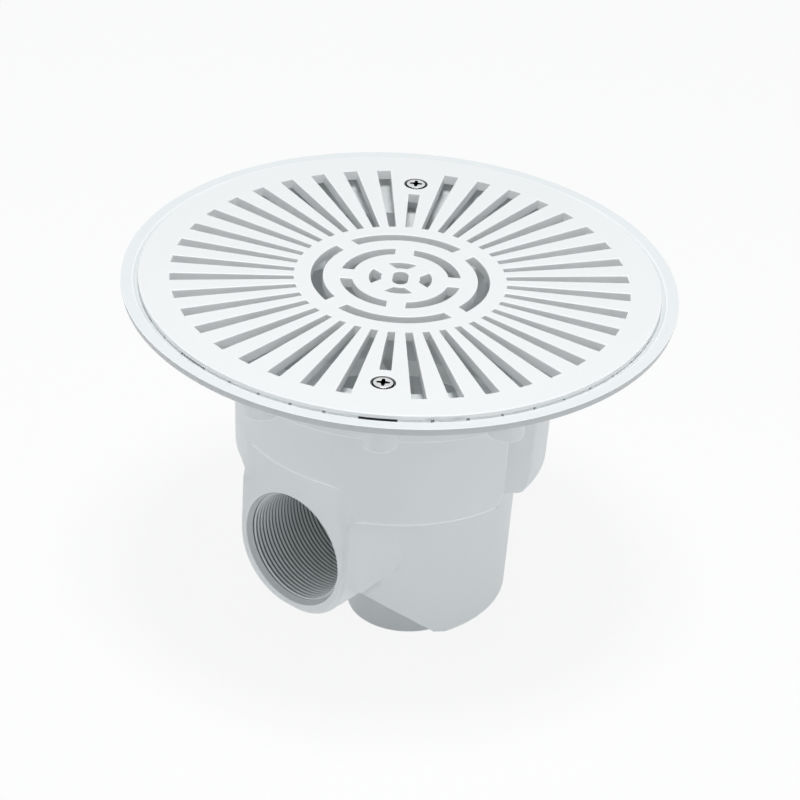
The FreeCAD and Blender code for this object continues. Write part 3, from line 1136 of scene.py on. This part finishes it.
@dataclass
class Studio:
    """Pale floor, white surroundings and soft lamps.

    Attributes:
        floor_size: Side of the floor in metres.
        floor_colour: Floor colour in sRGB hex.
        floor_glow: Share of plain white in the floor as the camera sees it, which keeps its shadow soft.
        background: Colour of the surroundings that the camera sees, in sRGB hex.
        sky_colour: Colour of the light from all round, in sRGB hex.
        sky_strength: Strength of that light.
        lamps: The soft lamps.
    """

    floor_size: float = 12.0
    floor_colour: str = "#f4f4f4"
    floor_glow: float = 0.87
    background: str = "#ffffff"
    sky_colour: str = "#f5fbff"
    sky_strength: float = 0.38
    lamps: tuple[Softbox, ...] = (
        Softbox("top_softbox", (0.29, -0.35, 2.15), (0.6, 0.6), 24.0),
        Softbox("camera_softbox", (0.79, -1.36, 1.33), (0.7, 0.7), 1.4),
        Softbox("front_left_softbox", (-1.5, -1.5, 0.9), (1.2, 1.2), 3.5),
        Softbox("right_softbox", (1.9, 0.8, 0.9), (0.8, 1.2), 4.5),
    )

    def camera_share(self, tree: bpy.types.NodeTree) -> bpy.types.NodeSocket:
        """Add nodes that give 1 for rays on which the background shows.

        Args:
            tree: The node tree of the floor or the world.

        Returns:
            The output socket.
        """
        path = add_node(tree, "ShaderNodeLightPath", {}, {})
        share = path.outputs["Is Camera Ray"]
        for ray in ("Is Glossy Ray", "Is Transmission Ray"):
            share = add_node(tree, "ShaderNodeMath", {"operation": "MAXIMUM"},
                             {NUMBER_A: share, NUMBER_B: path.outputs[ray]}).outputs["Value"]
        return share

    def floor(self) -> None:
        """Add the floor at the drain's lowest level."""
        material = empty_material("pale_floor")
        tree = material.node_tree
        share = add_node(tree, "ShaderNodeMath", {"operation": "MULTIPLY", NUMBER_B: self.floor_glow},
                         {NUMBER_A: self.camera_share(tree)})
        paint = add_node(tree, "ShaderNodeBsdfDiffuse", {"Color": linear(self.floor_colour)}, {})
        glow = add_node(tree, "ShaderNodeEmission",
                        {"Color": linear(self.background), "Strength": 1.0}, {})
        mix = add_node(tree, "ShaderNodeMixShader", {},
                       {"Fac": share.outputs["Value"], SHADER_A: paint.outputs["BSDF"],
                        SHADER_B: glow.outputs["Emission"]})
        add_node(tree, "ShaderNodeOutputMaterial", {}, {"Surface": mix.outputs["Shader"]})
        bm = bmesh.new()
        bmesh.ops.create_grid(bm, x_segments=1, y_segments=1, size=self.floor_size / 2)
        mesh = bpy.data.meshes.new("floor")
        bm.to_mesh(mesh)
        bm.free()
        mesh.materials.append(material)
        floor = bpy.data.objects.new("floor", mesh)
        bpy.context.scene.collection.objects.link(floor)
        floor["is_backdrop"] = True

    def world(self) -> None:
        """Set white surroundings for the camera and soft light from all round for the rest."""
        world = bpy.data.worlds.new("studio_world")
        world.use_nodes = True
        tree = world.node_tree
        tree.nodes.clear()
        light = add_node(tree, "ShaderNodeBackground",
                         {"Color": linear(self.sky_colour), "Strength": self.sky_strength}, {})
        white = add_node(tree, "ShaderNodeBackground",
                         {"Color": linear(self.background), "Strength": 1.0}, {})
        mix = add_node(tree, "ShaderNodeMixShader", {},
                       {"Fac": self.camera_share(tree), SHADER_A: light.outputs["Background"],
                        SHADER_B: white.outputs["Background"]})
        add_node(tree, "ShaderNodeOutputWorld", {}, {"Surface": mix.outputs["Shader"]})
        bpy.context.scene.world = world

    def build(self) -> None:
        """Add the floor, the world and the lamps."""
        self.floor()
        self.world()
        low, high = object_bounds()
        aim = (Vector(low) + Vector(high)) / 2
        for lamp in self.lamps:
            lamp.build(aim)


def dress_node(node: str, material: bpy.types.Material) -> bpy.types.Object:
    """Give a CAD node that stays in view its material.

    Args:
        node: The CAD node's name.
        material: The finish.

    Returns:
        The node's object.
    """
    piece = frame["nodes"][node]
    piece.data.materials.clear()
    piece.data.materials.append(material)
    return piece


def main() -> None:
    logging.basicConfig(level=logging.INFO, format="%(message)s")
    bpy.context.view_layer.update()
    body_abs = WHITE_BODY.material()
    places = ScrewPlaces()
    pieces = [
        DrainBody(places).build(body_abs),
        Grille(places).build(WHITE_GRILLE.material()),
        GrilleScrews(places).build(STAINLESS.material()),
        dress_node("screw_inserts", BRASS.material()),
        PipeThread("outlet_thread_ridge", "outlet_thread", LeadIn()).build(body_abs),
        PipeThread("port_thread_ridge", "bottom_port_thread").build(body_abs),
    ]
    for piece in pieces:
        log.info("%s: %d faces, %s", piece.name, len(piece.data.polygons), piece.data.materials[0].name)
    Studio().build()
    PhotoCamera().build()
    bpy.context.scene.view_settings.view_transform = "Standard"


if __name__ == "__main__":
    main()
